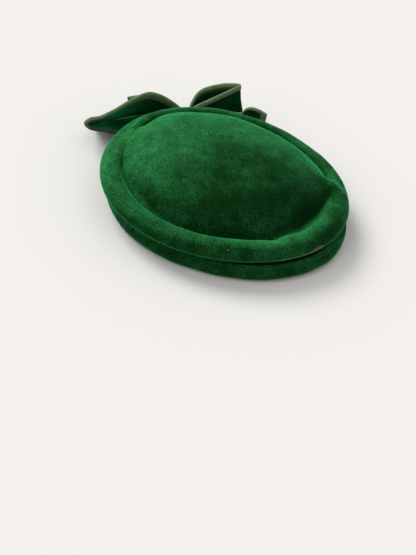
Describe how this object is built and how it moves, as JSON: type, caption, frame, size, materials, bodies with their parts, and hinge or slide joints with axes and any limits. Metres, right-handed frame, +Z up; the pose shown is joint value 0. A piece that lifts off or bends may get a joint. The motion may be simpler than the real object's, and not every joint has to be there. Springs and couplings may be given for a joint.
{
  "type": "pancake hat",
  "caption": "Shallow oval pancake hat of green velour felt with a flat domed top, a rolled double brim and a ribbon-bound felt bow at the back.",
  "frame": {"origin": "middle of the overall width and depth, at the height of the surface the brim rests on", "axes": "+Z up, +Y towards the back where the bow is, -Y towards the front"},
  "size_m": [0.2492, 0.2864, 0.066],
  "materials": {
    "crown": "velour pile",
    "brim": "velour pile",
    "bow_knot": "felt",
    "bow_loop_left": "felt",
    "bow_loop_right": "felt",
    "bow_tail_left": "felt",
    "bow_tail_right": "felt",
    "loop_binding_upper_left": "ribbed ribbon",
    "loop_binding_lower_left": "ribbed ribbon",
    "loop_binding_upper_right": "ribbed ribbon",
    "loop_binding_lower_right": "ribbed ribbon",
    "tail_binding_left": "ribbed ribbon",
    "tail_binding_right": "ribbed ribbon"
  },
  "bodies": {
    "root": {"crown": "crown", "brim": "brim", "bow_knot": "bow_knot", "bow_loop_left": "bow_loop_left", "bow_loop_right": "bow_loop_right", "bow_tail_left": "bow_tail_left", "bow_tail_right": "bow_tail_right", "loop_binding_upper_left": "loop_binding_upper_left", "loop_binding_lower_left": "loop_binding_lower_left", "loop_binding_upper_right": "loop_binding_upper_right", "loop_binding_lower_right": "loop_binding_lower_right", "tail_binding_left": "tail_binding_left", "tail_binding_right": "tail_binding_right"}
  },
  "joints": []
}
